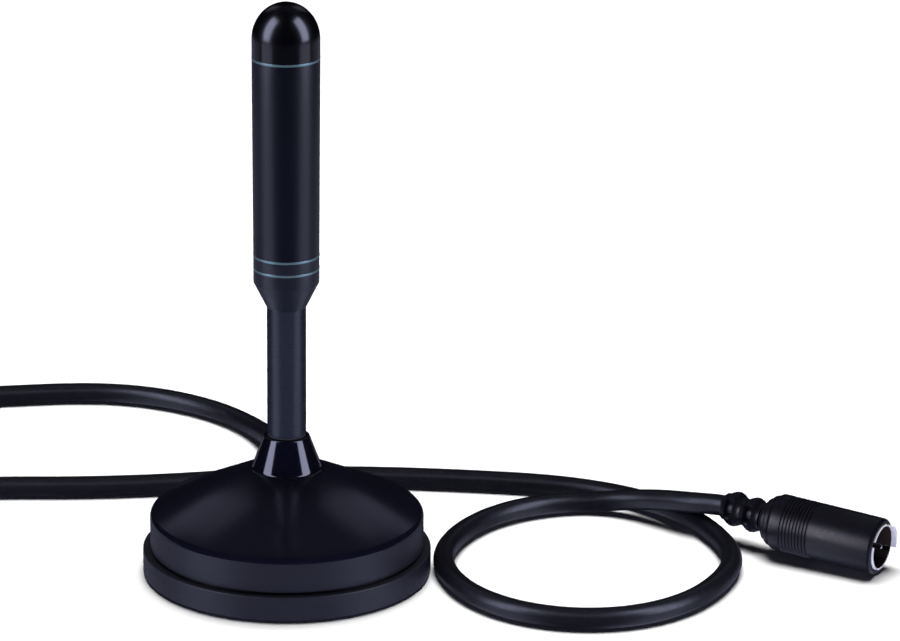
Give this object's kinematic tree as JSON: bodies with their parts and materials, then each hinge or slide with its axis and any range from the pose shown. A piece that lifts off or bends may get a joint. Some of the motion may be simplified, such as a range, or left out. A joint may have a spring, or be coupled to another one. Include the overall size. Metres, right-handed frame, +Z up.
{
  "type": "magnet-base whip aerial",
  "caption": "Round weighted magnet base with a short screw-in mast, a domed cylindrical radiator and a coax lead that ends in a push-on plug.",
  "frame": {"origin": "centre of the foot pad's underside, on the mast's axis", "axes": "+Z up along the mast, -Y towards the front, and the lead leaves along +Y"},
  "size_m": [0.3043, 0.1607, 0.1362],
  "materials": {
    "foot_rubber": "matt black rubber",
    "casing_plastic": "satin black moulded plastic",
    "cover_gloss": "polished black moulded plastic",
    "magnet_ferrite": "fired ferrite, dull",
    "zinc_steel": "zinc-plated",
    "white_nylon": "natural nylon",
    "board_laminate": "green solder resist",
    "chip_ceramic": "fired ceramic",
    "copper_wire": "enamelled copper",
    "brass": "turned brass",
    "lead_jacket": "satin black PVC jacket",
    "plug_rubber": "satin black moulded PVC",
    "mast_satin": "satin black",
    "anodised_black": "black anodised, satin",
    "trim_blue": "bright-cut, blue tint",
    "tie_strap": "woven black strap",
    "plug_metal": "bright nickel plate",
    "plug_insulator": "dark moulded insulator"
  },
  "bodies": {
    "root": {"foot_pad": "foot_rubber", "lower_casing": "casing_plastic", "ring_magnet": "magnet_ferrite", "keeper_plate": "zinc_steel", "board_spacers": "white_nylon", "matching_board": "board_laminate", "board_screws": "zinc_steel", "chip_parts": "chip_ceramic", "transformer_core": "magnet_ferrite", "feed_wire": "copper_wire", "solder_tag": "brass", "bush_nut": "brass", "thread_bush": "brass", "cover_screws": "zinc_steel", "base_cover": "cover_gloss", "mast_collar": "cover_gloss", "cable_clamp": "white_nylon", "clamp_screws": "zinc_steel", "lead_core": "copper_wire", "lead_tail": "lead_jacket", "cable_grommet": "plug_rubber", "lead_first_run": "lead_jacket", "lead_coil": "lead_jacket", "coil_tie": "tie_strap", "lead_second_run": "lead_jacket", "strain_relief": "plug_rubber", "plug_grip": "plug_rubber", "crimp_ferrule": "plug_metal", "plug_shell": "plug_metal", "plug_insulator": "plug_insulator", "plug_pin": "plug_metal"},
    "washer": {"seal_washer": "foot_rubber"},
    "mast": {"mast_stud": "zinc_steel", "mast_tube": "mast_satin", "feed_rod": "brass", "rod_spacers": "white_nylon", "ferrule": "anodised_black", "trim_ring_lower": "trim_blue", "trim_ring_middle": "trim_blue", "trim_ring_upper": "trim_blue", "radiator_sleeve": "anodised_black", "winding_former": "white_nylon", "winding": "copper_wire", "top_cap": "cover_gloss"}
  },
  "joints": [
    {"name": "mast_turn", "type": "hinge", "parent": "root", "child": "washer", "pos_m": [0, 0, 0.0335], "axis": [0, 0, 1], "range_deg": [0, 2880]},
    {"name": "mast_lift", "type": "slide", "parent": "washer", "child": "mast", "axis": [0, 0, 1], "range_m": [0, 0.0064]}
  ],
  "couplings": [
    {"joint": "mast_lift", "follows": "mast_turn", "m_per_rad": 0.00012732}
  ]
}
